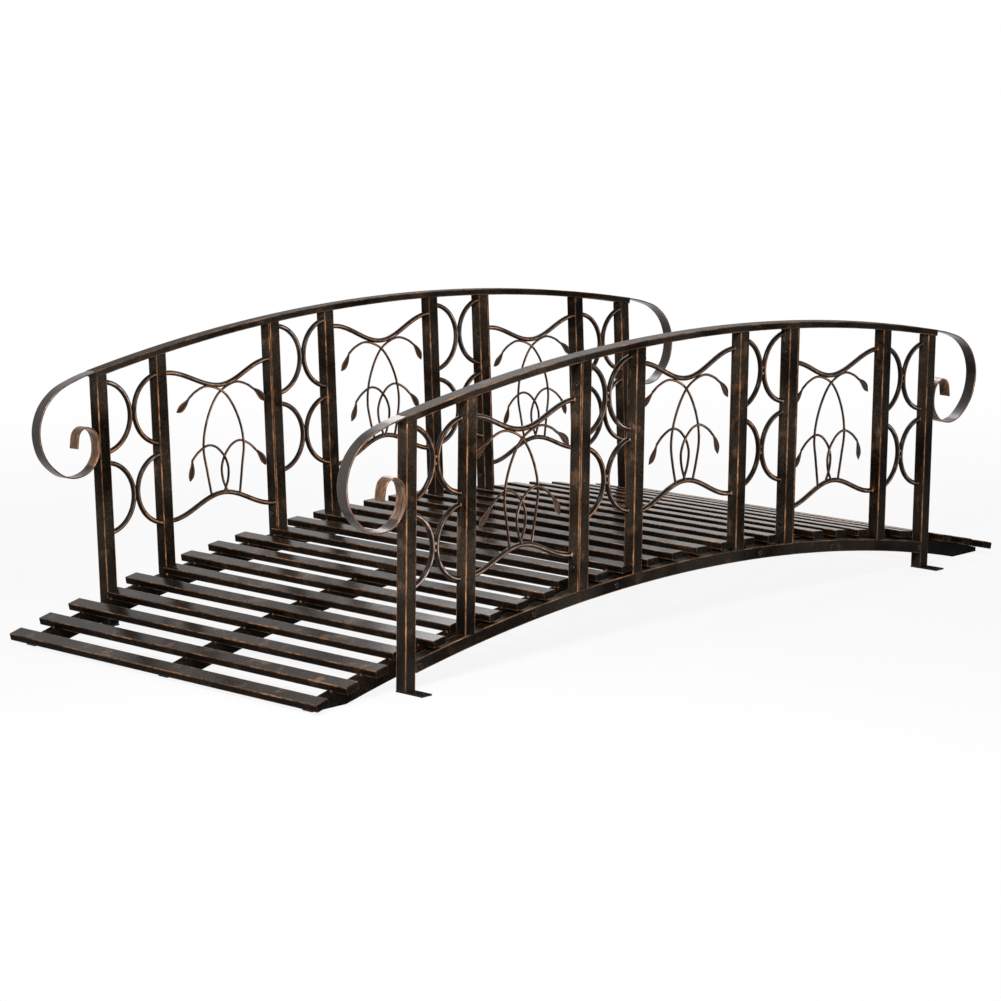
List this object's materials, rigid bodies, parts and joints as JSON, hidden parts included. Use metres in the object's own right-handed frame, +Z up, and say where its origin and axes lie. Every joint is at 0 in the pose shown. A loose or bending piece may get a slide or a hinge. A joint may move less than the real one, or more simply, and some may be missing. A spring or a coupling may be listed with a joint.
{
  "type": "garden bridge",
  "caption": "Arched metal garden bridge with a slatted deck and two splayed railings of posts, half rings, looping vine panels and end scrolls.",
  "frame": {"origin": "mid-span on the ground, midway between the railings", "axes": "+X along the bridge, +Y towards the back railing, +Z up"},
  "size_m": [1.9654, 0.936, 0.5757],
  "materials": {
    "frame": "dark bronze paint brushed with copper",
    "rods": "dark bronze paint brushed with copper",
    "vines": "dark bronze paint brushed with copper",
    "strips": "satin dark bronze paint",
    "deck": "satin dark bronze paint, worn on top"
  },
  "bodies": {
    "root": {"front_left_handrail": "frame", "front_left_stringer": "frame", "front_left_posts": "frame", "front_left_rings": "rods", "front_left_vine": "vines", "front_middle_handrail": "frame", "front_middle_stringer": "frame", "front_middle_posts": "frame", "front_middle_rings": "rods", "front_middle_vine": "vines", "front_right_handrail": "frame", "front_right_stringer": "frame", "front_right_posts": "frame", "front_right_rings": "rods", "front_right_vine": "vines", "front_left_scroll": "strips", "front_right_scroll": "strips", "front_feet": "frame", "back_left_handrail": "frame", "back_left_stringer": "frame", "back_left_posts": "frame", "back_left_rings": "rods", "back_left_vine": "vines", "back_middle_handrail": "frame", "back_middle_stringer": "frame", "back_middle_posts": "frame", "back_middle_rings": "rods", "back_middle_vine": "vines", "back_right_handrail": "frame", "back_right_stringer": "frame", "back_right_posts": "frame", "back_right_rings": "rods", "back_right_vine": "vines", "back_left_scroll": "strips", "back_right_scroll": "strips", "back_feet": "frame", "deck_left_slats": "deck", "deck_left_bearers": "frame", "deck_middle_slats": "deck", "deck_middle_bearers": "frame", "deck_right_slats": "deck", "deck_right_bearers": "frame"}
  },
  "joints": []
}
